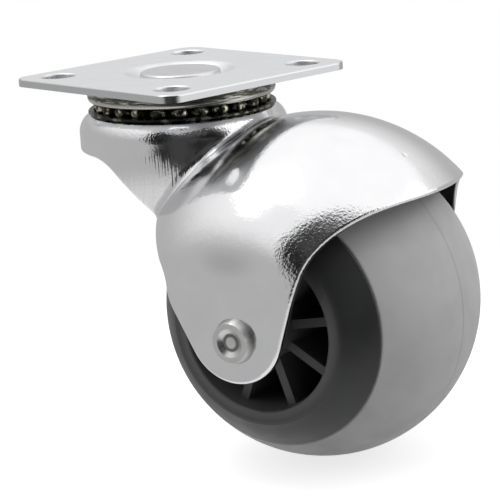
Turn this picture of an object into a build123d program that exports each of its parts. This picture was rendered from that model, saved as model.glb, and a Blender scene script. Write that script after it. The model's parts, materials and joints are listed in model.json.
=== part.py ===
from build123d import *
from math import acos, asin, atan2, cos, isclose, pi, sin, sqrt
import os

os.makedirs("parts", exist_ok=True)

# Sizes are in millimetres. The origin is the middle of the plate's upper face, on the swivel axis.
# The plate lies square to X and Y, and the hood stands turned about Z by this many degrees.
swivel_rest = 14.2

# Ball wheel: a black ribbed core with a grey tread moulded round its middle
wheel_diameter = 50.0
tread_half_width = 15.55
tread_depth = 3.5
seam_round = 0.25
rim_plane = 20.24
recess_radius = 12.76
recess_draft = 0.9
rim_round = 1.0
rim_inner_round = 0.35
web_thickness = 3.0
core_wall = 1.6
web_round = 0.8
hub_radius = 4.9
hub_draft = 0.6
hub_end_gap = 0.3
rib_count = 9
rib_thickness = 1.4
rib_top = 17.5
rib_first_angle = 9.5

# Axle rivet through both cheeks
axle_radius = 3.0
axle_tenon_radius = 2.5
rivet_head_radius = 3.5
rivet_face_radius = 3.0
rivet_head_height = 1.4
dimple_radius = 2.2
dimple_floor_radius = 1.4
dimple_depth = 0.5
dimple_boss = 0.2

# Where the axle lies from the swivel axis and from the plate's upper face
trail = 24.8
axle_depth = 36.1

# Pressed hood
hood_sheet = 1.2
dome_gap = 3.7
cheek_inside = 24.8
cheek_crease_round = 12.0
neck_radius = 16.95
neck_blend = 1.6
neck_rear_depth = 6.05
shoulder_round = 3.2
sheet_edge_round = 0.5

# Cut line of the hood in side view, measured from the axle: forward, then up
visor_tip_height = 19.2
visor_corner = (13.7, 17.8)
visor_round = 12.0
lobe_centre = (-0.3, 1.5)
lobe_radius = 8.3
rear_knee = (-11.9, 5.4)
rear_knee_round = 9.0
rear_waist = (-12.5, 8.9)
rear_waist_round = 5.0
rear_neck_corner_x = -29.4
rear_neck_corner_round = 7.5

# Top plate
plate_side = 39.0
plate_sheet = 1.25
plate_corner_round = 3.0
plate_edge_round = 0.3
screw_spacing = 28.0
screw_hole_radius = 2.75
screw_hole_round = 0.4

# Kingpin: head sunk in the plate, stem, and a peened tail under the lower race
pin_head_radius = 6.6
pin_head_thickness = 1.55
pin_head_sink = 0.05
pin_head_round = 0.6
pin_stem_radius = 4.0
pin_tail_radius = 3.0
peen_radius = 4.6
peen_height = 1.1
peen_round = 0.8
recess_foot_gap = 0.3
recess_slope_width = 2.1
recess_foot_round = 0.5
recess_brim_round = 1.6

# Double ball bearing
ball_diameter = 3.175
running_gap = 0.06
race_radius = 15.3
race_sheet = 0.8
groove_cover = 0.5
upper_grip = 0.75
lip_drop = 0.6
lip_height = 0.35
cup_lip_round = 0.2
cup_body_inset = 0.9
cup_land_width = 1.4
cup_land_drop = 1.1
lower_pitch_radius = 7.3
lower_groove_cover = 0.8
lower_lip_drop = 0.3
lower_land_drop = 1.0
stem_hole_gap = 0.5

# Axle fits
wheel_bore_gap = 0.08

# Radii worked out from the sizes above
wheel_radius = wheel_diameter / 2
ball_radius = ball_diameter / 2
groove_radius = ball_radius + running_gap
dome_radius = wheel_radius + dome_gap + hood_sheet
cheek_outside = cheek_inside + hood_sheet
upper_pitch_radius = race_radius - race_sheet - groove_radius
upper_ball_count = int(pi / asin(ball_radius / upper_pitch_radius))
lower_ball_count = int(pi / asin(ball_radius / lower_pitch_radius))

# Heights of the swivel stack, from the top down
recess_floor_z = -(pin_head_sink + pin_head_thickness)
dish_floor_z = recess_floor_z - plate_sheet
upper_ball_z = dish_floor_z - groove_cover - groove_radius
cup_lip_z = upper_ball_z - lip_drop
hood_top_z = cup_lip_z - lip_height
cup_floor_z = upper_ball_z - groove_radius - race_sheet
hood_ceiling_z = cup_floor_z - hood_sheet
lower_ball_z = cup_floor_z - lower_groove_cover - groove_radius
lower_floor_z = lower_ball_z - groove_radius - race_sheet
lower_land_z = lower_ball_z - lower_land_drop

# Planes of the turned hood: trail along X, axle along Y
hood_frame = Plane.XY.rotated((0, 0, swivel_rest))
axle_centre = hood_frame.from_local_coords(Vector(trail, 0, -axle_depth))
side_view = Plane(origin=axle_centre, x_dir=hood_frame.x_dir, z_dir=-hood_frame.y_dir)
axle_section = Plane(origin=axle_centre, x_dir=hood_frame.x_dir, z_dir=(0, 0, 1))
axle_axis = Axis(axle_centre, hood_frame.y_dir)


# The point where a line from start touches a circle; side is 1 to the left of the line to its centre
def tangent_point(start, centre, radius, side):
    across = start[0] - centre[0]
    up = start[1] - centre[1]
    turn = atan2(up, across) + side * acos(radius / sqrt(across**2 + up**2))
    return (centre[0] + radius * cos(turn), centre[1] + radius * sin(turn))


# The round edges of a piece that have this radius
def rims_of_radius(piece, radius):
    circles = piece.edges().filter_by(GeomType.CIRCLE)
    return circles.filter_by(lambda edge: isclose(edge.radius, radius, abs_tol=0.001))


# The dome with its flattened cheeks, inset from the outer skin
def dome_form(inset):
    with BuildPart() as dome:
        with Locations(axle_section):
            Sphere(dome_radius - inset)
            Box(
                2 * dome_radius,
                2 * (cheek_outside - inset),
                2 * dome_radius,
                mode=Mode.INTERSECT,
            )
        cheek_edges = dome.edges().filter_by(lambda edge: edge.is_closed)
        fillet(cheek_edges, cheek_crease_round - inset)
    return dome.part


# The whole form that the hood sheet is pressed over: neck and dome, blended where they meet
def pressed_form(inset, top_z, blend, top_round):
    with BuildPart() as form:
        with BuildSketch(hood_frame.offset(top_z)):
            Circle(neck_radius - inset)
        extrude(amount=-(top_z + axle_depth + 2 * dome_radius))
        fillet(form.faces().sort_by(Axis.Z)[-1].edges(), top_round)
        add(dome_form(inset))
        joint_edges = form.edges(Select.NEW).filter_by(GeomType.BSPLINE)
        fillet(joint_edges, blend)
        # The dome's crown stays level with the neck's top, or below it
        split(bisect_by=hood_frame.offset(hood_top_z - inset), keep=Keep.BOTTOM)
    return form.part


# Hood: one pressed sheet with dome, neck and two cheeks, cut to its side outline
front_corner = Vector(*visor_corner)
visor_tip = Vector(sqrt(dome_radius**2 - visor_tip_height**2), visor_tip_height)
front_out = front_corner + (visor_tip - front_corner) * 2
lobe_front = tangent_point(visor_corner, lobe_centre, lobe_radius, -1)
lobe_rear = tangent_point(rear_knee, lobe_centre, lobe_radius, 1)
lobe_bottom = (lobe_centre[0], lobe_centre[1] - lobe_radius)
neck_edge_up = axle_depth + hood_top_z - neck_rear_depth
rear_out = (-trail - 2 * neck_radius, neck_edge_up)
above = 2 * axle_depth

with BuildPart() as hood:
    add(pressed_form(0, hood_top_z, neck_blend, shoulder_round))
    with BuildSketch(side_view):
        with BuildLine():
            FilletPolyline(front_out, visor_corner, lobe_front, radius=visor_round)
            ThreePointArc(lobe_front, lobe_bottom, lobe_rear)
            FilletPolyline(
                lobe_rear,
                rear_knee,
                rear_waist,
                (rear_neck_corner_x, neck_edge_up),
                rear_out,
                radius=[rear_knee_round, rear_waist_round, rear_neck_corner_round],
            )
            Polyline(rear_out, (rear_out[0], above), (front_out.X, above), front_out)
        make_face()
    extrude(amount=2 * dome_radius, both=True, mode=Mode.INTERSECT)
    fillet(hood.edges(Select.NEW), sheet_edge_round)
    inner_blend = neck_blend + hood_sheet
    inner_shoulder = shoulder_round - hood_sheet
    add(pressed_form(hood_sheet, hood_ceiling_z, inner_blend, inner_shoulder), mode=Mode.SUBTRACT)
    # Seat of the lower race, sunk in the neck's top, and the hole round the kingpin
    with Locations((0, 0, cup_floor_z)):
        Cylinder(
            race_radius - cup_body_inset,
            hood_top_z - cup_floor_z,
            align=(Align.CENTER, Align.CENTER, Align.MIN),
            mode=Mode.SUBTRACT,
        )
    with Locations((0, 0, cup_floor_z)):
        Cylinder(pin_stem_radius + stem_hole_gap, 4 * hood_sheet, mode=Mode.SUBTRACT)
    # Track of the lower balls, pressed in the underside of the neck's top
    with Locations((0, 0, lower_ball_z)):
        Torus(lower_pitch_radius, groove_radius, mode=Mode.SUBTRACT)
    # Axle holes through both cheeks
    with BuildSketch(side_view):
        Circle(axle_tenon_radius)
    extrude(amount=2 * dome_radius, both=True, mode=Mode.SUBTRACT)
hood.part.label = "hood"
export_step(hood.part, "parts/hood.step")

# Top plate: square sheet with a dished recess for the kingpin's head and four screw holes
recess_foot_radius = pin_head_radius + recess_foot_gap
recess_brim_radius = recess_foot_radius + recess_slope_width
with BuildPart() as top_plate:
    with BuildSketch():
        RectangleRounded(plate_side, plate_side, plate_corner_round)
    extrude(amount=-plate_sheet)
    fillet(top_plate.faces().sort_by(Axis.Z)[-1].edges(), plate_edge_round)
    # Boss under the plate, pushed down by the recess
    with BuildSketch(Plane.XZ):
        with BuildLine():
            FilletPolyline(
                (0, dish_floor_z),
                (recess_foot_radius + plate_sheet / 2, dish_floor_z),
                (recess_brim_radius + plate_sheet / 2, -plate_sheet),
                (recess_brim_radius + 2 * plate_sheet, -plate_sheet),
                radius=recess_foot_round,
            )
            Polyline(
                (recess_brim_radius + 2 * plate_sheet, -plate_sheet),
                (recess_brim_radius + 2 * plate_sheet, -plate_sheet / 2),
                (0, -plate_sheet / 2),
                (0, dish_floor_z),
            )
        make_face()
    revolve(axis=Axis.Z)
    with BuildSketch(Plane.XZ):
        with BuildLine():
            FilletPolyline(
                (0, recess_floor_z),
                (recess_foot_radius, recess_floor_z),
                (recess_brim_radius, 0),
                (recess_brim_radius + 2 * plate_sheet, 0),
                radius=[recess_foot_round, recess_brim_round],
            )
            Polyline(
                (recess_brim_radius + 2 * plate_sheet, 0),
                (recess_brim_radius + 2 * plate_sheet, plate_sheet),
                (0, plate_sheet),
                (0, recess_floor_z),
            )
        make_face()
    revolve(axis=Axis.Z, mode=Mode.SUBTRACT)
    with Locations((0, 0, recess_floor_z)):
        Cylinder(pin_stem_radius, 4 * plate_sheet, mode=Mode.SUBTRACT)
    with GridLocations(screw_spacing, screw_spacing, 2, 2):
        Cylinder(screw_hole_radius, 4 * plate_sheet, mode=Mode.SUBTRACT)
    fillet(rims_of_radius(top_plate, screw_hole_radius).group_by(Axis.Z)[-1], screw_hole_round)
top_plate.part.label = "top_plate"
export_step(top_plate.part, "parts/top_plate.step")

# Upper race: shallow pressed dish, clamped under the plate, with the ball track in its underside
with BuildPart() as upper_race:
    with BuildSketch(Plane.XZ):
        with BuildLine():
            Polyline(
                (pin_stem_radius, dish_floor_z),
                (race_radius - race_sheet, dish_floor_z),
                (race_radius - race_sheet, -plate_sheet),
                (race_radius, -plate_sheet),
                (race_radius, upper_ball_z + upper_grip),
                (upper_pitch_radius, upper_ball_z + upper_grip),
                (upper_pitch_radius, dish_floor_z - race_sheet),
                (pin_stem_radius, dish_floor_z - race_sheet),
                close=True,
            )
        make_face()
    revolve(axis=Axis.Z)
    ridge_round = race_sheet + running_gap
    rim_edges = upper_race.edges().filter_by(GeomType.CIRCLE).group_by(Axis.Z)[0]
    fillet(rim_edges.sort_by(SortBy.RADIUS)[-1], ridge_round)
    with Locations((0, 0, upper_ball_z)):
        Torus(upper_pitch_radius, groove_radius, mode=Mode.SUBTRACT)
upper_race.part.label = "upper_race"
export_step(upper_race.part, "parts/upper_race.step")

# Race cup: lower track of the upper balls, seated in the neck's top
cup_land_radius = upper_pitch_radius - groove_radius - cup_land_width
with BuildPart() as race_cup:
    with BuildSketch(Plane.XZ):
        Polygon(
            (cup_land_radius, cup_floor_z),
            (race_radius - cup_body_inset, cup_floor_z),
            (race_radius - cup_body_inset, hood_top_z),
            (race_radius, hood_top_z),
            (race_radius, cup_lip_z),
            (upper_pitch_radius, cup_lip_z),
            (upper_pitch_radius, upper_ball_z - cup_land_drop),
            (cup_land_radius, upper_ball_z - cup_land_drop),
            align=None,
        )
    revolve(axis=Axis.Z)
    fillet(rims_of_radius(race_cup, race_radius).group_by(Axis.Z)[-1], cup_lip_round)
    with Locations((0, 0, upper_ball_z)):
        Torus(upper_pitch_radius, groove_radius, mode=Mode.SUBTRACT)
race_cup.part.label = "race_cup"
export_step(race_cup.part, "parts/race_cup.step")

# Lower race: washer with the track of the lower balls, held up by the kingpin's tail
with BuildPart() as lower_race:
    lower_race_radius = lower_pitch_radius + groove_radius + race_sheet
    with BuildSketch(Plane.XZ):
        Polygon(
            (pin_tail_radius, lower_floor_z),
            (lower_race_radius, lower_floor_z),
            (lower_race_radius, lower_ball_z - lower_lip_drop),
            (lower_pitch_radius, lower_ball_z - lower_lip_drop),
            (lower_pitch_radius, lower_land_z),
            (pin_tail_radius, lower_land_z),
            align=None,
        )
    revolve(axis=Axis.Z)
    with Locations((0, 0, lower_ball_z)):
        Torus(lower_pitch_radius, groove_radius, mode=Mode.SUBTRACT)
lower_race.part.label = "lower_race"
export_step(lower_race.part, "parts/lower_race.step")

# Kingpin: flat head with a rounded rim, stem, thinner tail and its peened end
with BuildPart() as kingpin:
    with BuildSketch(Plane.XZ):
        Polygon(
            (0, -pin_head_sink),
            (pin_head_radius, -pin_head_sink),
            (pin_head_radius, recess_floor_z),
            (pin_stem_radius, recess_floor_z),
            (pin_stem_radius, lower_land_z),
            (pin_tail_radius, lower_land_z),
            (pin_tail_radius, lower_floor_z),
            (peen_radius, lower_floor_z),
            (peen_radius, lower_floor_z - peen_height),
            (0, lower_floor_z - peen_height),
            align=None,
        )
    revolve(axis=Axis.Z)
    fillet(kingpin.faces().sort_by(Axis.Z)[-1].edges(), pin_head_round)
    fillet(kingpin.faces().sort_by(Axis.Z)[0].edges(), peen_round)
kingpin.part.label = "kingpin"
export_step(kingpin.part, "parts/kingpin.step")

# Loose balls of both rings, each its own piece
ball_rings = [
    ("upper_ball", upper_ball_count, upper_pitch_radius, upper_ball_z),
    ("lower_ball", lower_ball_count, lower_pitch_radius, lower_ball_z),
]
for ring_name, ball_count, pitch_radius, ball_z in ball_rings:
    for number in range(ball_count):
        turn = 2 * pi * number / ball_count
        with BuildPart() as ball:
            with Locations((pitch_radius * cos(turn), pitch_radius * sin(turn), ball_z)):
                Sphere(ball_radius)
        ball.part.label = f"{ring_name}_{number + 1:02d}"
        export_step(ball.part, f"parts/{ball.part.label}.step")

# Axle: pin with a shoulder inside each cheek, thin ends through the cheeks, and dimpled rivet heads
head_plane = cheek_outside + rivet_head_height
with BuildPart() as axle:
    with BuildSketch(axle_section):
        with BuildLine():
            Polyline(
                (0, 0),
                (axle_radius, 0),
                (axle_radius, cheek_inside),
                (axle_tenon_radius, cheek_inside),
                (axle_tenon_radius, cheek_outside),
                (rivet_head_radius, cheek_outside),
                (rivet_face_radius, head_plane),
                (dimple_radius, head_plane),
                (dimple_floor_radius, head_plane - dimple_depth),
                (0, head_plane - dimple_depth + dimple_boss),
                close=True,
            )
        make_face()
        mirror(about=Plane.XZ)
    revolve(axis=axle_axis)
axle.part.label = "axle"
export_step(axle.part, "parts/axle.step")

# Wheel core: hub, web, ribs and the black side domes that complete the ball
tread_seat_radius = wheel_radius - tread_depth
seat_edge_radius = max(sqrt(tread_seat_radius**2 - tread_half_width**2), recess_radius + core_wall)
tread_edge_radius = sqrt(wheel_radius**2 - tread_half_width**2)
rim_edge_radius = sqrt(wheel_radius**2 - rim_plane**2)
hub_end = cheek_inside - hub_end_gap
bore_radius = axle_radius + wheel_bore_gap


# A point of a circle about the axle's middle, at a share of the way between two heights along the axle
def point_on_ball(radius, along):
    return (sqrt(radius**2 - along**2), along)


with BuildPart() as wheel_core:
    with BuildSketch(axle_section):
        with BuildLine():
            Polyline((bore_radius, 0), (bore_radius, hub_end), (hub_radius, hub_end))
            FilletPolyline(
                (hub_radius, hub_end),
                (hub_radius + hub_draft, web_thickness / 2),
                (recess_radius - recess_draft, web_thickness / 2),
                (recess_radius, rim_plane),
                (rim_edge_radius, rim_plane),
                radius=[web_round, web_round, rim_inner_round],
            )
            ThreePointArc(
                (rim_edge_radius, rim_plane),
                point_on_ball(wheel_radius, (rim_plane + tread_half_width) / 2),
                (tread_edge_radius, tread_half_width),
            )
            Line((tread_edge_radius, tread_half_width), (seat_edge_radius, tread_half_width))
            TangentArc((tread_seat_radius, 0), (seat_edge_radius, tread_half_width), tangent=(0, 1))
            Line((tread_seat_radius, 0), (bore_radius, 0))
        make_face()
        mirror(about=Plane.XZ)
    revolve(axis=axle_axis)
    rib_inner_end = bore_radius + (hub_radius - bore_radius) / 2
    rib_outer_end = recess_radius + rim_round
    with BuildSketch(side_view):
        with PolarLocations((rib_inner_end + rib_outer_end) / 2, rib_count, rib_first_angle):
            Rectangle(rib_outer_end - rib_inner_end, rib_thickness)
    extrude(amount=rib_top, both=True)
    fillet(rims_of_radius(wheel_core, tread_edge_radius), seam_round)
    fillet(rims_of_radius(wheel_core, rim_edge_radius), rim_round)
wheel_core.part.label = "wheel_core"
export_step(wheel_core.part, "parts/wheel_core.step")

# Tread: grey band moulded round the middle of the core
with BuildPart() as wheel_tread:
    with BuildSketch(axle_section):
        with BuildLine():
            ThreePointArc(
                (tread_edge_radius, tread_half_width),
                (wheel_radius, 0),
                (tread_edge_radius, -tread_half_width),
            )
            Line((tread_edge_radius, -tread_half_width), (seat_edge_radius, -tread_half_width))
            ThreePointArc(
                (seat_edge_radius, -tread_half_width),
                (tread_seat_radius, 0),
                (seat_edge_radius, tread_half_width),
            )
            Line((seat_edge_radius, tread_half_width), (tread_edge_radius, tread_half_width))
        make_face()
    revolve(axis=axle_axis)
    fillet(rims_of_radius(wheel_tread, tread_edge_radius), seam_round)
wheel_tread.part.label = "wheel_tread"
export_step(wheel_tread.part, "parts/wheel_tread.step")
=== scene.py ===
import bpy
import bmesh
import json
from math import radians, sin, cos, pi, atan2
from mathutils import Vector, Matrix


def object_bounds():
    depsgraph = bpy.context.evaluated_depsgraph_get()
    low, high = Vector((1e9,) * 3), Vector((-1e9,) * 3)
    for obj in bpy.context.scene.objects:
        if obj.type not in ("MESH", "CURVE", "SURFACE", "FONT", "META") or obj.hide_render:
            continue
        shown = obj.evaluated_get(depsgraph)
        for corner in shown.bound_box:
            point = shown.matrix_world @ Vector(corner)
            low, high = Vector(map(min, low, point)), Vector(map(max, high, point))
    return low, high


# Ball castor: the looks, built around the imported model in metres
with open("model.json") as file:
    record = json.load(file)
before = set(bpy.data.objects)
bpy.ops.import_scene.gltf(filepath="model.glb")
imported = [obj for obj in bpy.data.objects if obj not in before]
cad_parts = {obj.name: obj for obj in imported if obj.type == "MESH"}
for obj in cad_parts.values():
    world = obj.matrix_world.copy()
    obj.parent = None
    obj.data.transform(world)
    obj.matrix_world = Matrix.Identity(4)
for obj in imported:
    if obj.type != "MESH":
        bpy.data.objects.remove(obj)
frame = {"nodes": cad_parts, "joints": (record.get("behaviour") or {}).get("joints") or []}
cadLow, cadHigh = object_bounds()
scene = bpy.context.scene
mm = 0.001
joints = {joint["name"]: joint for joint in frame["joints"]}
axleCentre = Vector(joints["wheel_spin"]["pos_m"])
axleAxis = Vector(joints["wheel_spin"]["axis"])
swivelRest = atan2(-axleAxis.x, axleAxis.y)  # how far the hood is turned from the plate
print("frame loaded,", len(frame["nodes"]), "nodes")


# sRGB hex to the linear colour that a shader takes
def linear(hexColour):
    parts = [int(hexColour[i:i + 2], 16) / 255 for i in (1, 3, 5)]
    parts = [c / 12.92 if c <= 0.04045 else ((c + 0.055) / 1.055) ** 2.4 for c in parts]
    return (*parts, 1.0)


def startMaterial(name):
    material = bpy.data.materials.new(name)
    material.use_nodes = True
    material.node_tree.nodes.clear()
    return material, material.node_tree


# Adds a node with its settings, and fills its inputs with values or with links from other nodes
def addNode(tree, kind, settings=None, inputs=None):
    node = tree.nodes.new("ShaderNode" + kind)
    for key, value in (settings or {}).items():
        setattr(node, key, value)
    for key, value in (inputs or {}).items():
        if isinstance(value, bpy.types.NodeSocket):
            tree.links.new(value, node.inputs[key])
        else:
            node.inputs[key].default_value = value
    return node


# Node settings that come up again and again
add = {"operation": "ADD"}
subtract = {"operation": "SUBTRACT"}
times = {"operation": "MULTIPLY"}
timesPlus = {"operation": "MULTIPLY_ADD"}
larger = {"operation": "MAXIMUM"}
unsigned = {"operation": "ABSOLUTE"}
spanOf = {"operation": "LENGTH"}
spanBetween = {"operation": "DISTANCE"}
unitLong = {"operation": "NORMALIZE"}
dotWith = {"operation": "DOT_PRODUCT"}
smooth = {"interpolation_type": "SMOOTHSTEP"}
seeded = {"noise_dimensions": "4D"}
colours = {"data_type": "RGBA"}
trueHeight = {"Strength": 1.0, "Distance": 1.0}  # so that the relief is in metres


# Object coordinates, their parts, and the distance from the swivel axis
def swivelPlace(tree):
    place = addNode(tree, "TexCoord").outputs["Object"]
    parts = addNode(tree, "SeparateXYZ", None, {0: place}).outputs
    flat = addNode(tree, "VectorMath", times, {0: place, 1: (1, 1, 0)}).outputs[0]
    reach = addNode(tree, "VectorMath", spanOf, {0: flat}).outputs["Value"]
    return place, parts, reach


# The same from the axle, with the view along it: x forward, y along the axle, z up
def axlePlace(tree):
    place = addNode(tree, "TexCoord").outputs["Object"]
    shift = -(Matrix.Rotation(-swivelRest, 3, "Z") @ axleCentre)
    toAxle = {"Location": shift, "Rotation": (0, 0, -swivelRest)}
    turned = addNode(tree, "Mapping", None, {0: place, **toAxle}).outputs[0]
    parts = addNode(tree, "SeparateXYZ", None, {0: turned}).outputs
    sideView = addNode(tree, "VectorMath", times, {0: turned, 1: (1, 0, 1)}).outputs[0]
    reach = addNode(tree, "VectorMath", spanOf, {0: sideView}).outputs["Value"]
    return turned, parts, reach, sideView


chromeSet = {
    "plating": {6: linear("#F0F0F1"), 7: linear("#E4E4E6")},  # clear, and hazed
    "haze": {"Scale": 1 / (5 * mm), "Detail": 3.0, "W": 7.0},
    "roughness": {"From Min": 0.3, "From Max": 0.7, "To Min": 0.09, "To Max": 0.16},
    "peel": {"Scale": 1 / (0.45 * mm), "Detail": 1.0, "W": 1.0},
    "peelHeight": 0.016 * mm,
    "coarse": {"Scale": 1 / (0.36 * mm), "Detail": 2.0, "W": 3.0},
    "coarseHeight": 0.055 * mm,
    "rimCentre": (15.5 * mm, 0, 13 * mm),  # middle of the wheel opening's curve, from the axle
    "rimStretch": {"From Min": 9.6 * mm, "From Max": 6.8 * mm},
    "onNeck": {"From Min": 17.7 * mm, "From Max": 17.0 * mm},
    "shoulder": {"From Min": -9.6 * mm, "From Max": -8.2 * mm, "To Max": 0.7},
    "drawStretch": (1.0, 1.0, 0.05),
    "streak": {"Scale": 1 / (0.38 * mm), "Detail": 1.0, "W": 4.0},
    "streakHeight": 0.11 * mm,
    "belowTop": {"From Min": -9.8 * mm, "From Max": -12 * mm},
    "aboveLow": {"From Min": -25 * mm, "From Max": -19 * mm},
    "wave": {"Scale": 1 / (8 * mm), "Detail": 0.0, "W": 2.0},
    "waveHeight": 0.035 * mm,
    "dentSpot": (16.9 * mm, -1.8 * mm, 24.6 * mm),
    "dent": {"From Max": 0.65 * mm, "To Max": 0.05 * mm},
    "neckFall": {"From Min": -9 * mm, "From Max": -18 * mm, "To Max": -0.28},
    "crestFall": {"From Min": -8.6 * mm, "From Max": -6.6 * mm, "To Max": -0.22},
    "rimFall": {"From Min": 7.6 * mm, "From Max": 5.6 * mm, "To Max": -0.08},
    "thumbSpot": (-0.5 * mm, -26 * mm, 11.9 * mm),
    "thumbStretch": (0.45, 0.3, 1.0),
    "thumb": {"From Min": 2.8 * mm, "From Max": 0.4 * mm},
    "thumbColour": linear("#D9D9DA"),
    "inWidth": {"From Min": 25.2 * mm, "From Max": 24.9 * mm},  # just outside the inner faces
    "inReach": {"From Min": 29.1 * mm, "From Max": 28.9 * mm},
    "insideColour": linear("#58595A"),
    "insideRoughness": 0.5,
}


# Nickel-chrome plating over deep-drawn steel. The eye gets a mirror that the drawing has roughened:
# orange peel where the sheet was stretched most, and draw marks down the neck, which falls in a little
def chromePlatedSteel():
    material, tree = startMaterial("chromePlatedSteel")
    place, parts, reach = swivelPlace(tree)
    hoodPlace, hoodParts, hoodReach, sideView = axlePlace(tree)
    height = parts[2]
    onNeck = addNode(tree, "MapRange", smooth, {"Value": reach, **chromeSet["onNeck"]}).outputs[0]
    toRim = {0: sideView, 1: chromeSet["rimCentre"]}
    fromRim = addNode(tree, "VectorMath", spanBetween, toRim).outputs["Value"]

    # Orange peel, real 0.2 to 0.5 mm grains, drawn at the coarse end of that to show
    peel = addNode(tree, "TexNoise", seeded, {"Vector": place, **chromeSet["peel"]}).outputs[0]
    coarse = addNode(tree, "TexNoise", seeded, {"Vector": place, **chromeSet["coarse"]}).outputs[0]
    nearRim = {"Value": fromRim, **chromeSet["rimStretch"]}
    rimStretch = addNode(tree, "MapRange", smooth, nearRim).outputs[0]
    nearTop = {"Value": height, **chromeSet["shoulder"]}
    shoulder = addNode(tree, "MapRange", smooth, nearTop).outputs[0]
    shoulderStretch = addNode(tree, "Math", times, {0: shoulder, 1: onNeck}).outputs[0]
    stretched = addNode(tree, "Math", larger, {0: rimStretch, 1: shoulderStretch}).outputs[0]
    coarseHere = addNode(tree, "Math", times, {0: coarse, 1: stretched}).outputs[0]

    # Draw marks down the neck
    alongDraw = {"Vector": place, "Scale": chromeSet["drawStretch"]}
    drawn = addNode(tree, "Mapping", None, alongDraw).outputs[0]
    streak = addNode(tree, "TexNoise", seeded, {"Vector": drawn, **chromeSet["streak"]}).outputs[0]
    belowTop = addNode(tree, "MapRange", smooth, {"Value": height, **chromeSet["belowTop"]})
    aboveLow = addNode(tree, "MapRange", smooth, {"Value": height, **chromeSet["aboveLow"]})
    ends = {0: belowTop.outputs[0], 1: aboveLow.outputs[0]}
    between = addNode(tree, "Math", times, ends).outputs[0]
    onDrawnWall = addNode(tree, "Math", times, {0: between, 1: onNeck}).outputs[0]
    streakHere = addNode(tree, "Math", times, {0: streak, 1: onDrawnWall}).outputs[0]

    # Slow waves of the pressed sheet, and one small dent on the visor
    wave = addNode(tree, "TexNoise", seeded, {"Vector": place, **chromeSet["wave"]}).outputs[0]
    toDent = {0: hoodPlace, 1: chromeSet["dentSpot"]}
    fromDent = addNode(tree, "VectorMath", spanBetween, toDent).outputs["Value"]
    relief = addNode(tree, "MapRange", smooth, {"Value": fromDent, **chromeSet["dent"]}).outputs[0]

    layers = (
        (peel, chromeSet["peelHeight"]),
        (coarseHere, chromeSet["coarseHeight"]),
        (streakHere, chromeSet["streakHeight"]),
        (wave, chromeSet["waveHeight"]),
    )
    for layer, layerHeight in layers:
        relief = addNode(tree, "Math", timesPlus, {0: layer, 1: layerHeight, 2: relief}).outputs[0]
    bump = addNode(tree, "Bump", None, {"Height": relief, **trueHeight}).outputs[0]

    # The drawn wall leans in below the shoulder, and the sheet curls down a little at the opening's rim
    fall = addNode(tree, "MapRange", smooth, {"Value": height, **chromeSet["neckFall"]}).outputs[0]
    crest = addNode(tree, "MapRange", smooth, {"Value": height, **chromeSet["crestFall"]}).outputs[0]
    curl = addNode(tree, "MapRange", smooth, {"Value": fromRim, **chromeSet["rimFall"]}).outputs[0]
    fallen = addNode(tree, "Math", add, {0: fall, 1: crest}).outputs[0]
    lean = addNode(tree, "Math", timesPlus, {0: fallen, 1: onNeck, 2: curl}).outputs[0]
    down = addNode(tree, "CombineXYZ", None, {2: lean}).outputs[0]
    leaning = addNode(tree, "VectorMath", add, {0: bump, 1: down}).outputs[0]
    normal = addNode(tree, "VectorMath", unitLong, {0: leaning}).outputs[0]

    # Cloudy haze in the plating, and a thumb's smear on one cheek
    haze = addNode(tree, "TexNoise", seeded, {"Vector": place, **chromeSet["haze"]}).outputs[0]
    outerRoughness = addNode(tree, "MapRange", smooth, {"Value": haze, **chromeSet["roughness"]})
    plating = addNode(tree, "Mix", colours, {"Factor": haze, **chromeSet["plating"]}).outputs[2]
    toThumb = {0: hoodPlace, 1: chromeSet["thumbSpot"]}
    aside = addNode(tree, "VectorMath", subtract, toThumb).outputs[0]
    alongSmear = {0: aside, 1: chromeSet["thumbStretch"]}
    smeared = addNode(tree, "VectorMath", times, alongSmear).outputs[0]
    fromThumb = addNode(tree, "VectorMath", spanOf, {0: smeared}).outputs["Value"]
    thumb = addNode(tree, "MapRange", smooth, {"Value": fromThumb, **chromeSet["thumb"]}).outputs[0]
    touched = {"Factor": thumb, 6: plating, 7: chromeSet["thumbColour"]}
    outerColour = addNode(tree, "Mix", colours, touched).outputs[2]

    # The inside is shaded from the plating current, takes little of it, and stays dull and dark
    width = addNode(tree, "Math", unsigned, {0: hoodParts[1]}).outputs[0]
    inWidth = addNode(tree, "MapRange", smooth, {"Value": width, **chromeSet["inWidth"]}).outputs[0]
    fromAxle = addNode(tree, "VectorMath", spanOf, {0: hoodPlace}).outputs["Value"]
    inReach = addNode(tree, "MapRange", smooth, {"Value": fromAxle, **chromeSet["inReach"]}).outputs[0]
    inside = addNode(tree, "Math", times, {0: inWidth, 1: inReach}).outputs[0]
    bothColours = {"Factor": inside, 6: outerColour, 7: chromeSet["insideColour"]}
    colour = addNode(tree, "Mix", colours, bothColours).outputs[2]
    bothSides = {"Factor": inside, 2: outerRoughness.outputs[0], 3: chromeSet["insideRoughness"]}
    roughness = addNode(tree, "Mix", None, bothSides).outputs[0]

    metal = {"Metallic": 1.0, "Base Color": colour, "Roughness": roughness, "Normal": normal}
    shader = addNode(tree, "BsdfPrincipled", None, metal)
    addNode(tree, "OutputMaterial", None, {"Surface": shader.outputs[0]})
    return material


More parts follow.
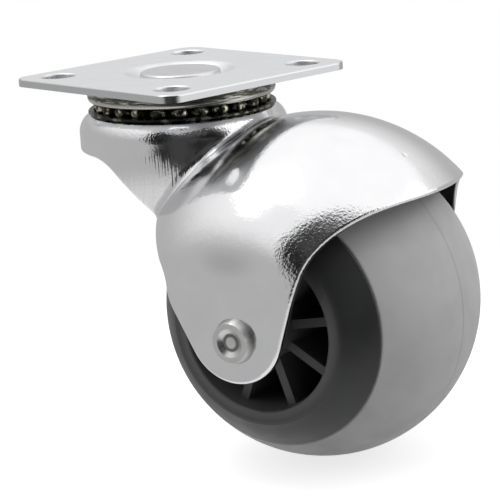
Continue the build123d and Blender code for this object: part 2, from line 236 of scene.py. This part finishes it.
zincSet = {
    "zinc": {6: linear("#EAEBEC"), 7: linear("#E0E1E3")},
    "cloud": {"Scale": 1 / (6 * mm), "Detail": 4.0, "W": 1.0},
    "patches": {"From Min": 0.35, "From Max": 0.65},
    "roughness": {"From Min": 0.3, "From Max": 0.7, "To Min": 0.42, "To Max": 0.52},
    "grain": {"Scale": 1 / (0.4 * mm), "Detail": 1.0},
    "grainHeight": 0.0025 * mm,
    "rollStretch": (0.06, 1.0, 1.0),
    "roll": {"Scale": 1 / (0.7 * mm), "Detail": 1.0, "W": 3.0},
    "rollHeight": 0.003 * mm,
    # Half the plate's side less its corner round, and a metre in z, which leaves the height out
    "cornerInset": (16.5 * mm, 16.5 * mm, 1.0),
    "edge": {"From Min": 2.7 * mm, "From Max": 2.9 * mm},
    "edgeRoughness": 0.22,
    "edgeColour": linear("#D3D4D5"),
}


# Bright zinc on blanked steel strip. The eye gets a cloudy satin with faint rolling marks on the flat,
# and a shinier edge where the blanking punch rubbed it
def brightZincStrip():
    material, tree = startMaterial("brightZincStrip")
    place, parts, reach = swivelPlace(tree)
    cloud = addNode(tree, "TexNoise", seeded, {"Vector": place, **zincSet["cloud"]}).outputs[0]
    # Zinc crystals are far under 0.1 mm, and are drawn at 0.4 mm to show
    grain = addNode(tree, "TexNoise", seeded, {"Vector": place, **zincSet["grain"]}).outputs[0]
    alongStrip = {"Vector": place, "Scale": zincSet["rollStretch"]}
    rolled = addNode(tree, "Mapping", None, alongStrip).outputs[0]
    roll = addNode(tree, "TexNoise", seeded, {"Vector": rolled, **zincSet["roll"]}).outputs[0]
    relief = addNode(tree, "Math", times, {0: grain, 1: zincSet["grainHeight"]}).outputs[0]
    rollOver = {0: roll, 1: zincSet["rollHeight"], 2: relief}
    relief = addNode(tree, "Math", timesPlus, rollOver).outputs[0]
    bump = addNode(tree, "Bump", None, {"Height": relief, **trueHeight}).outputs[0]

    # How far out past the square on which the corner rounds are centred
    folded = addNode(tree, "VectorMath", unsigned, {0: place}).outputs[0]
    past = addNode(tree, "VectorMath", subtract, {0: folded, 1: zincSet["cornerInset"]}).outputs[0]
    outside = addNode(tree, "VectorMath", larger, {0: past, 1: (0, 0, 0)}).outputs[0]
    outward = addNode(tree, "VectorMath", spanOf, {0: outside}).outputs["Value"]
    edge = addNode(tree, "MapRange", smooth, {"Value": outward, **zincSet["edge"]}).outputs[0]

    flat = addNode(tree, "MapRange", smooth, {"Value": cloud, **zincSet["roughness"]}).outputs[0]
    bothRough = {"Factor": edge, 2: flat, 3: zincSet["edgeRoughness"]}
    roughness = addNode(tree, "Mix", None, bothRough).outputs[0]
    patches = addNode(tree, "MapRange", smooth, {"Value": cloud, **zincSet["patches"]}).outputs[0]
    zinc = addNode(tree, "Mix", colours, {"Factor": patches, **zincSet["zinc"]}).outputs[2]
    bothColours = {"Factor": edge, 6: zinc, 7: zincSet["edgeColour"]}
    colour = addNode(tree, "Mix", colours, bothColours).outputs[2]
    metal = {"Metallic": 1.0, "Base Color": colour, "Roughness": roughness, "Normal": bump}
    shader = addNode(tree, "BsdfPrincipled", None, metal)
    addNode(tree, "OutputMaterial", None, {"Surface": shader.outputs[0]})
    return material


raceSet = {
    "steel": {6: linear("#C6C5C0"), 7: linear("#4F4E45")},  # wiped, and greasy with painted reflected shade
    "smearStretch": (0.3, 0.3, 2.4),
    "smear": {"Scale": 1 / (0.6 * mm), "Detail": 5.0, "Roughness": 0.65, "W": 5.0},
    "smearHeight": 0.012 * mm,
    "smeared": {"From Min": 0.36, "From Max": 0.53},
    "upper": {"From Min": -3.5 * mm, "From Max": -3.15 * mm, "To Min": 0.15},
    "roughness": {"To Min": 0.18, "To Max": 0.42},
}


# Pressed, case-hardened steel of the upper race, wiped clean at its rim. The eye gets a bright lower
# band, and old grease smeared round the wall above it, with painted reflected shade in the same dark
# smears
def greasedRaceWithShade():
    material, tree = startMaterial("greasedRaceWithShade")
    place, parts, reach = swivelPlace(tree)
    roundWall = {"Vector": place, "Scale": raceSet["smearStretch"]}
    along = addNode(tree, "Mapping", None, roundWall).outputs[0]
    smear = addNode(tree, "TexNoise", seeded, {"Vector": along, **raceSet["smear"]}).outputs[0]
    smeared = addNode(tree, "MapRange", smooth, {"Value": smear, **raceSet["smeared"]}).outputs[0]
    upper = addNode(tree, "MapRange", smooth, {"Value": parts[2], **raceSet["upper"]}).outputs[0]
    # Grease smears in the upper band, darkened further as painted reflected shade
    grimeAndShade = addNode(tree, "Math", times, {0: smeared, 1: upper}).outputs[0]
    relief = addNode(tree, "Math", times, {0: smear, 1: raceSet["smearHeight"]}).outputs[0]
    bump = addNode(tree, "Bump", None, {"Height": relief, **trueHeight}).outputs[0]
    roughness = addNode(tree, "MapRange", smooth, {"Value": grimeAndShade, **raceSet["roughness"]}).outputs[0]
    colour = addNode(tree, "Mix", colours, {"Factor": grimeAndShade, **raceSet["steel"]}).outputs[2]
    metal = {"Metallic": 1.0, "Base Color": colour, "Roughness": roughness, "Normal": bump}
    shader = addNode(tree, "BsdfPrincipled", None, metal)
    addNode(tree, "OutputMaterial", None, {"Surface": shader.outputs[0]})
    return material


cupSet = {
    "steel": {6: linear("#282823"), 7: linear("#8C8B80")},  # blackened by oil and painted shade, and rubbed bright
    "metallic": 0.8,
    "smear": {"Scale": 1 / (1.4 * mm), "Detail": 4.0, "W": 9.0},
    "smearHeight": 0.03 * mm,
    "rubbed": {"From Min": 0.5, "From Max": 0.64},
    "roughness": {"From Min": 0.3, "From Max": 0.7, "To Min": 0.22, "To Max": 0.45},
}


# Oil-blackened steel of the race cup and the lower race, whose black is also painted shade of the dark
# gap round the balls. The eye gets a wet black, rubbed bright in spots
def oilBlackAndShadedSteel():
    material, tree = startMaterial("oilBlackAndShadedSteel")
    place, parts, reach = swivelPlace(tree)
    smear = addNode(tree, "TexNoise", seeded, {"Vector": place, **cupSet["smear"]}).outputs[0]
    rubbed = addNode(tree, "MapRange", smooth, {"Value": smear, **cupSet["rubbed"]}).outputs[0]
    relief = addNode(tree, "Math", times, {0: smear, 1: cupSet["smearHeight"]}).outputs[0]
    bump = addNode(tree, "Bump", None, {"Height": relief, **trueHeight}).outputs[0]
    roughness = addNode(tree, "MapRange", smooth, {"Value": smear, **cupSet["roughness"]}).outputs[0]
    # The black here is oil and painted shade of the gap below the balls
    colour = addNode(tree, "Mix", colours, {"Factor": rubbed, **cupSet["steel"]}).outputs[2]
    metal = {"Metallic": cupSet["metallic"], "Base Color": colour, "Roughness": roughness, "Normal": bump}
    shader = addNode(tree, "BsdfPrincipled", None, metal)
    addNode(tree, "OutputMaterial", None, {"Surface": shader.outputs[0]})
    return material


ballSet = {
    "steel": {6: linear("#C9C6B4"), 7: linear("#33322A")},  # bare, and under grease
    "film": {"Scale": 1 / (0.9 * mm), "Detail": 3.0, "W": 11.0},
    "filmHeight": 0.02 * mm,
    "greasy": {"From Min": 0.38, "From Max": 0.54},
    "roughness": {"To Min": 0.14, "To Max": 0.4},
}


# Ground and polished bearing balls. The eye gets small yellowed sparks through a film of old grease
def greasedBallSteel():
    material, tree = startMaterial("greasedBallSteel")
    place, parts, reach = swivelPlace(tree)
    film = addNode(tree, "TexNoise", seeded, {"Vector": place, **ballSet["film"]}).outputs[0]
    greasy = addNode(tree, "MapRange", smooth, {"Value": film, **ballSet["greasy"]}).outputs[0]
    relief = addNode(tree, "Math", times, {0: film, 1: ballSet["filmHeight"]}).outputs[0]
    bump = addNode(tree, "Bump", None, {"Height": relief, **trueHeight}).outputs[0]
    roughness = addNode(tree, "MapRange", smooth, {"Value": greasy, **ballSet["roughness"]}).outputs[0]
    colour = addNode(tree, "Mix", colours, {"Factor": greasy, **ballSet["steel"]}).outputs[2]
    metal = {"Metallic": 1.0, "Base Color": colour, "Roughness": roughness, "Normal": bump}
    shader = addNode(tree, "BsdfPrincipled", None, metal)
    addNode(tree, "OutputMaterial", None, {"Surface": shader.outputs[0]})
    return material


pinSet = {
    "zinc": {6: linear("#DEDEDF"), 7: linear("#D2D2D4")},
    "patch": {"Scale": 1 / (2.5 * mm), "Detail": 2.0, "W": 13.0},
    "patchHeight": 0.002 * mm,
    "roughness": {"From Min": 0.3, "From Max": 0.7, "To Min": 0.36, "To Max": 0.44},
}


# Zinc-plated kingpin with a turned head. The eye gets a soft shine, a little uneven where it was handled
def turnedPinSteel():
    material, tree = startMaterial("turnedPinSteel")
    place, parts, reach = swivelPlace(tree)
    patch = addNode(tree, "TexNoise", seeded, {"Vector": place, **pinSet["patch"]}).outputs[0]
    relief = addNode(tree, "Math", times, {0: patch, 1: pinSet["patchHeight"]}).outputs[0]
    bump = addNode(tree, "Bump", None, {"Height": relief, **trueHeight}).outputs[0]
    roughness = addNode(tree, "MapRange", smooth, {"Value": patch, **pinSet["roughness"]}).outputs[0]
    colour = addNode(tree, "Mix", colours, {"Factor": patch, **pinSet["zinc"]}).outputs[2]
    metal = {"Metallic": 1.0, "Base Color": colour, "Roughness": roughness, "Normal": bump}
    shader = addNode(tree, "BsdfPrincipled", None, metal)
    addNode(tree, "OutputMaterial", None, {"Surface": shader.outputs[0]})
    return material


rivetSet = {
    "steel": {6: linear("#DEDEDD"), 7: linear("#C9C9C7")},
    "grimeAndShade": linear("#4E4E4B"),
    "dimpleReach": 1.15 * mm,  # from the axle's middle to the ring in the dimple darkened by dirt and painted shade
    "dimple": {"From Min": 0.45 * mm, "From Max": 0.1 * mm, "To Max": 0.8},
    "wall": {"From Min": 3.0 * mm, "From Max": 3.45 * mm, "To Max": 0.55},
    "patch": {"Scale": 1 / (1.2 * mm), "Detail": 3.0, "W": 13.0},
    "wobble": 3.0,  # how far the patches shift the rings, in radians
    "ringSize": 0.7 * mm,
    "ringHeight": 0.002 * mm,
    "pits": {"Scale": 1 / (0.35 * mm), "Detail": 2.0, "W": 15.0},
    "pitHeight": 0.0025 * mm,
    "roughness": {"From Min": 0.3, "From Max": 0.7, "To Min": 0.28, "To Max": 0.4},
}


# Steel axle, riveted over by an orbital press. The eye gets a dull head with pressed rings, and dirt
# with painted shade darkening a ring in the dimple and the wall under the rolled edge
def spunRivetSteel():
    material, tree = startMaterial("spunRivetSteel")
    place, parts, reach, sideView = axlePlace(tree)
    patch = addNode(tree, "TexNoise", seeded, {"Vector": place, **rivetSet["patch"]}).outputs[0]
    wobble = addNode(tree, "Math", times, {0: patch, 1: rivetSet["wobble"]}).outputs[0]
    ringTurns = {0: reach, 1: 2 * pi / rivetSet["ringSize"], 2: wobble}
    turns = addNode(tree, "Math", timesPlus, ringTurns).outputs[0]
    rings = addNode(tree, "Math", {"operation": "SINE"}, {0: turns}).outputs[0]
    pits = addNode(tree, "TexNoise", seeded, {"Vector": place, **rivetSet["pits"]}).outputs[0]
    relief = addNode(tree, "Math", times, {0: rings, 1: rivetSet["ringHeight"]}).outputs[0]
    pitsOver = {0: pits, 1: rivetSet["pitHeight"], 2: relief}
    relief = addNode(tree, "Math", timesPlus, pitsOver).outputs[0]
    bump = addNode(tree, "Bump", None, {"Height": relief, **trueHeight}).outputs[0]

    # Dark ring in the dimple and dark wall under the rolled edge: dirt and painted shade
    off = addNode(tree, "Math", subtract, {0: reach, 1: rivetSet["dimpleReach"]}).outputs[0]
    fromDimple = addNode(tree, "Math", unsigned, {0: off}).outputs[0]
    dimple = addNode(tree, "MapRange", smooth, {"Value": fromDimple, **rivetSet["dimple"]}).outputs[0]
    wall = addNode(tree, "MapRange", smooth, {"Value": reach, **rivetSet["wall"]}).outputs[0]
    dirtAndShade = addNode(tree, "Math", larger, {0: dimple, 1: wall}).outputs[0]
    steel = addNode(tree, "Mix", colours, {"Factor": patch, **rivetSet["steel"]}).outputs[2]
    dirtyAndShaded = {"Factor": dirtAndShade, 6: steel, 7: rivetSet["grimeAndShade"]}
    colour = addNode(tree, "Mix", colours, dirtyAndShaded).outputs[2]
    roughness = addNode(tree, "MapRange", smooth, {"Value": pits, **rivetSet["roughness"]}).outputs[0]
    metal = {"Metallic": 1.0, "Base Color": colour, "Roughness": roughness, "Normal": bump}
    shader = addNode(tree, "BsdfPrincipled", None, metal)
    addNode(tree, "OutputMaterial", None, {"Surface": shader.outputs[0]})
    return material


coreSet = {
    "plastic": {6: linear("#2B2C2C"), 7: linear("#343535")},
    "ior": 1.49,
    "dust": linear("#606060"),
    "inward": {"From Min": 15.5 * mm, "From Max": 13.0 * mm},
    "cloud": {"Scale": 1 / (4 * mm), "Detail": 3.0, "W": 17.0},
    "roughness": {"From Min": 0.3, "From Max": 0.7, "To Min": 0.34, "To Max": 0.44},
    "spark": {"Scale": 1 / (0.35 * mm), "Detail": 1.0, "W": 19.0},
    "sparkHeight": 0.003 * mm,
}


# Injection-moulded black polypropylene. The eye gets a deep black with the soft sheen of a
# spark-eroded mould, and a little grey dust between the ribs
def mouldedPolypropylene():
    material, tree = startMaterial("mouldedPolypropylene")
    place, parts, reach, sideView = axlePlace(tree)
    cloud = addNode(tree, "TexNoise", seeded, {"Vector": place, **coreSet["cloud"]}).outputs[0]
    # Spark grain is about 0.05 mm, and is drawn at 0.35 mm to show
    spark = addNode(tree, "TexNoise", seeded, {"Vector": place, **coreSet["spark"]}).outputs[0]
    relief = addNode(tree, "Math", times, {0: spark, 1: coreSet["sparkHeight"]}).outputs[0]
    bump = addNode(tree, "Bump", None, {"Height": relief, **trueHeight}).outputs[0]
    inward = addNode(tree, "MapRange", smooth, {"Value": reach, **coreSet["inward"]}).outputs[0]
    plastic = addNode(tree, "Mix", colours, {"Factor": cloud, **coreSet["plastic"]}).outputs[2]
    dusty = {"Factor": inward, 6: plastic, 7: coreSet["dust"]}
    colour = addNode(tree, "Mix", colours, dusty).outputs[2]
    roughness = addNode(tree, "MapRange", smooth, {"Value": cloud, **coreSet["roughness"]}).outputs[0]
    moulded = {"IOR": coreSet["ior"], "Base Color": colour, "Roughness": roughness, "Normal": bump}
    shader = addNode(tree, "BsdfPrincipled", None, moulded)
    addNode(tree, "OutputMaterial", None, {"Surface": shader.outputs[0]})
    return material


treadSet = {
    "rubber": {6: linear("#BEBEBE"), 7: linear("#B9B9B9")},
    "ior": 1.5,
    "cloud": {"Scale": 1 / (5 * mm), "Detail": 3.0, "W": 21.0},
    "patches": {"From Min": 0.35, "From Max": 0.65},
    "roughness": {"From Min": 0.3, "From Max": 0.7, "To Min": 0.42, "To Max": 0.54},
    "satin": {"Scale": 1 / (0.4 * mm), "Detail": 1.0, "W": 23.0},
    "satinHeight": 0.004 * mm,
    "seam": {"From Min": 0.3 * mm, "From Max": 0.0},
    "seamHeight": 0.02 * mm,
    "seamColour": linear("#8C8C8C"),
    "seamShare": 0.5,
}


# Injection-moulded grey thermoplastic rubber. The eye gets an even satin, faintly cloudy, with the
# mould's parting line round the middle
def greyTreadRubber():
    material, tree = startMaterial("greyTreadRubber")
    place, parts, reach, sideView = axlePlace(tree)
    cloud = addNode(tree, "TexNoise", seeded, {"Vector": place, **treadSet["cloud"]}).outputs[0]
    satin = addNode(tree, "TexNoise", seeded, {"Vector": place, **treadSet["satin"]}).outputs[0]
    across = addNode(tree, "Math", unsigned, {0: parts[1]}).outputs[0]
    seam = addNode(tree, "MapRange", smooth, {"Value": across, **treadSet["seam"]}).outputs[0]
    relief = addNode(tree, "Math", times, {0: satin, 1: treadSet["satinHeight"]}).outputs[0]
    seamOver = {0: seam, 1: treadSet["seamHeight"], 2: relief}
    relief = addNode(tree, "Math", timesPlus, seamOver).outputs[0]
    bump = addNode(tree, "Bump", None, {"Height": relief, **trueHeight}).outputs[0]
    patches = addNode(tree, "MapRange", smooth, {"Value": cloud, **treadSet["patches"]}).outputs[0]
    rubber = addNode(tree, "Mix", colours, {"Factor": patches, **treadSet["rubber"]}).outputs[2]
    parting = addNode(tree, "Math", times, {0: seam, 1: treadSet["seamShare"]}).outputs[0]
    parted = {"Factor": parting, 6: rubber, 7: treadSet["seamColour"]}
    colour = addNode(tree, "Mix", colours, parted).outputs[2]
    roughness = addNode(tree, "MapRange", smooth, {"Value": cloud, **treadSet["roughness"]}).outputs[0]
    moulded = {"IOR": treadSet["ior"], "Base Color": colour, "Roughness": roughness, "Normal": bump}
    shader = addNode(tree, "BsdfPrincipled", None, moulded)
    addNode(tree, "OutputMaterial", None, {"Surface": shader.outputs[0]})
    return material


finishes = {
    "top_plate": brightZincStrip(),
    "upper_race": greasedRaceWithShade(),
    "lower_race": oilBlackAndShadedSteel(),
    "kingpin": turnedPinSteel(),
    "hood": chromePlatedSteel(),
    "axle": spunRivetSteel(),
    "wheel_core": mouldedPolypropylene(),
    "wheel_tread": greyTreadRubber(),
}
finishes["race_cup"] = finishes["lower_race"]
ballFinish = greasedBallSteel()
for name, node in frame["nodes"].items():
    for materialSlot in node.material_slots:
        materialSlot.material = finishes.get(name, ballFinish)
print("finishes on the nodes")


# The photograph's camera, fitted to about forty features of it
cameraSet = {
    "azimuth": 47.62,
    "elevation": 13.468,
    "roll": -3.471,
    "distance": 329.229 * mm,
    "target": (11.716 * mm, 2.221 * mm, -29.026 * mm),
    "lens": 146.46,
    "sensor": 36.0,
    "clip": (0.01, 20),
}


def makeCamera():
    around, above, roll = (radians(cameraSet[key]) for key in ("azimuth", "elevation", "roll"))
    back = Vector((sin(around) * cos(above), -cos(around) * cos(above), sin(above)))
    right = Vector((cos(around), sin(around), 0))
    up = back.cross(right)
    turnedRight = right * cos(roll) + up * sin(roll)
    turnedUp = up * cos(roll) - right * sin(roll)
    data = bpy.data.cameras.new("camera")
    data.lens = cameraSet["lens"]
    data.sensor_width = cameraSet["sensor"]
    data.clip_start, data.clip_end = cameraSet["clip"]
    camera = bpy.data.objects.new("camera", data)
    scene.collection.objects.link(camera)
    turn = Matrix((turnedRight, turnedUp, back)).transposed().to_4x4()
    spot = Vector(cameraSet["target"]) + back * cameraSet["distance"]
    camera.matrix_world = Matrix.Translation(spot) @ turn
    scene.camera = camera


studioSet = {
    "viewerSide": -42.4,  # where the photograph's camera stands, around the vertical
    "sky": {"From Min": 0.14, "From Max": 0.74, "To Min": 0.5},
    "table": {"From Min": -0.35, "From Max": -0.85, "To Max": 0.4},
    "wallTurn": 82.0,
    "wallEdge": (16.0, 36.0),
    "standing": {"From Min": -0.6, "From Max": -0.3},
    "darkTurn": 4.0,
    "darkAbove": 15.0,
    "darkEdge": (40.0, 49.0),
    "clutter": {"Scale": 2.6, "Detail": 3.0, "W": 31.0},
    "unlit": {"From Min": 0.38, "From Max": 0.62, "To Min": 0.02, "To Max": 0.11},
    # What lights the castor, from the table up to the ceiling
    "fill": {"From Min": -0.5, "From Max": 1.0, "To Min": 0.74, "To Max": 1.3},
}


# Direction from the object, turned around the vertical and raised above the floor, in degrees
def direction(around, above):
    turned, raised = radians(around), radians(above)
    return Vector((cos(turned) * cos(raised), sin(turned) * cos(raised), sin(raised)))


# White studio: paler overhead than at the horizon, with a bright wall on the right and the unlit room
# on the viewer's side. It lights the castor and metal mirrors it, while the camera sees plain white
def makeWorld():
    world = bpy.data.worlds.new("studio")
    world.use_nodes = True
    tree = world.node_tree
    tree.nodes.clear()
    path = addNode(tree, "LightPath").outputs
    gaze = addNode(tree, "TexCoord").outputs["Generated"]
    height = addNode(tree, "SeparateXYZ", None, {0: gaze}).outputs[2]
    sky = addNode(tree, "MapRange", smooth, {"Value": height, **studioSet["sky"]}).outputs[0]
    table = addNode(tree, "MapRange", smooth, {"Value": height, **studioSet["table"]}).outputs[0]
    level = addNode(tree, "Math", add, {0: sky, 1: table}).outputs[0]

    flat = addNode(tree, "VectorMath", times, {0: gaze, 1: (1, 1, 0)}).outputs[0]
    around = addNode(tree, "VectorMath", unitLong, {0: flat}).outputs[0]
    wall = direction(studioSet["viewerSide"] + studioSet["wallTurn"], 0)
    beside = addNode(tree, "VectorMath", dotWith, {0: around, 1: wall}).outputs["Value"]
    wallFull, wallEnd = (cos(radians(angle)) for angle in studioSet["wallEdge"])
    wallFade = {"Value": beside, "From Min": wallEnd, "From Max": wallFull}
    across = addNode(tree, "MapRange", smooth, wallFade).outputs[0]
    standing = addNode(tree, "MapRange", smooth, {"Value": height, **studioSet["standing"]}).outputs[0]
    strip = addNode(tree, "Math", times, {0: across, 1: standing}).outputs[0]
    lifted = addNode(tree, "Math", larger, {0: level, 1: strip}).outputs[0]

    dark = direction(studioSet["viewerSide"] + studioSet["darkTurn"], studioSet["darkAbove"])
    toward = addNode(tree, "VectorMath", dotWith, {0: gaze, 1: dark}).outputs["Value"]
    clutter = addNode(tree, "TexNoise", seeded, {"Vector": gaze, **studioSet["clutter"]}).outputs[0]
    unlit = addNode(tree, "MapRange", smooth, {"Value": clutter, **studioSet["unlit"]}).outputs[0]
    darkFull, darkEnd = (cos(radians(angle)) for angle in studioSet["darkEdge"])
    roomFade = {"Value": toward, "From Min": darkFull, "From Max": darkEnd, "To Min": unlit}
    room = addNode(tree, "MapRange", smooth, roomFade).outputs[0]
    shown = addNode(tree, "Math", times, {0: lifted, 1: room}).outputs[0]

    white = (1, 1, 1, 1)
    mirrored = addNode(tree, "Background", None, {"Color": white, "Strength": shown}).outputs[0]
    backdrop = addNode(tree, "Background", None, {"Color": white, "Strength": 1.0}).outputs[0]
    share = addNode(tree, "MapRange", None, {"Value": height, **studioSet["fill"]}).outputs[0]
    soft = addNode(tree, "Math", times, {0: shown, 1: share}).outputs[0]
    fill = addNode(tree, "Background", None, {"Color": white, "Strength": soft}).outputs[0]
    glossOrGlass = {0: path["Is Glossy Ray"], 1: path["Is Transmission Ray"]}
    clear = addNode(tree, "Math", larger, glossOrGlass).outputs[0]
    lit = addNode(tree, "MixShader", None, {0: clear, 1: fill, 2: mirrored}).outputs[0]
    seen = {0: path["Is Camera Ray"], 1: lit, 2: backdrop}
    whole = addNode(tree, "MixShader", None, seen).outputs[0]
    addNode(tree, "OutputWorld", None, {"Surface": whole})
    scene.world = world


lampSet = {
    "ceiling": {"around": 100, "above": 76, "distance": 0.8, "size": (1.2, 1.2), "level": 0.16},
    "rightWall": {"around": 40, "above": 24, "distance": 0.9, "size": (0.85, 0.8), "level": 0.45},
    "keyBox": {"around": -135, "above": 66, "distance": 0.6, "size": (0.22, 0.3), "level": 3.0},
}


# Softbox that faces the object; level is the brightness of its face, where 1 is white
def makeSoftbox(name, around, above, distance, size, level):
    data = bpy.data.lights.new(name, "AREA")
    data.shape = "RECTANGLE"
    data.size, data.size_y = size
    data.energy = level * pi * size[0] * size[1]
    lamp = bpy.data.objects.new(name, data)
    scene.collection.objects.link(lamp)
    aim = (cadLow + cadHigh) / 2
    lamp.location = aim + direction(around, above) * distance
    lamp.rotation_mode = "QUATERNION"
    lamp.rotation_quaternion = (aim - lamp.location).to_track_quat("-Z", "Y")


floorSet = {
    "colour": linear("#B8B8B8"),
    "glow": 0.76,
    "half": 3.0,
    "away": {"From Min": 55 * mm, "From Max": 140 * mm},
}


# Pale floor under the wheel, which keeps the castor's soft shadow and runs out to white
def makeFloor():
    mesh = bpy.data.meshes.new("floor")
    build = bmesh.new()
    bmesh.ops.create_grid(build, x_segments=1, y_segments=1, size=floorSet["half"])
    bmesh.ops.translate(build, verts=build.verts, vec=(0, 0, cadLow.z))
    build.to_mesh(mesh)
    build.free()
    floor = bpy.data.objects.new("floor", mesh)
    scene.collection.objects.link(floor)
    floor.visible_glossy = False

    material, tree = startMaterial("paleFloor")
    path = addNode(tree, "LightPath").outputs
    place, parts, reach = swivelPlace(tree)
    matt = addNode(tree, "BsdfDiffuse", None, {"Color": floorSet["colour"]}).outputs[0]
    seen = addNode(tree, "Math", times, {0: path["Is Camera Ray"], 1: floorSet["glow"]}).outputs[0]
    glow = addNode(tree, "Emission", None, {"Strength": seen}).outputs[0]
    near = addNode(tree, "AddShader", None, {0: matt, 1: glow}).outputs[0]
    white = addNode(tree, "Emission", None, {"Strength": 1.0}).outputs[0]
    away = addNode(tree, "MapRange", smooth, {"Value": reach, **floorSet["away"]}).outputs[0]
    far = addNode(tree, "Math", times, {0: away, 1: path["Is Camera Ray"]}).outputs[0]
    whole = addNode(tree, "MixShader", None, {0: far, 1: near, 2: white}).outputs[0]
    addNode(tree, "OutputMaterial", None, {"Surface": whole})
    mesh.materials.append(material)


makeCamera()
makeWorld()
for name, settings in lampSet.items():
    makeSoftbox(name, **settings)
makeFloor()
scene.view_settings.view_transform = "Standard"
print("camera, studio and floor made")
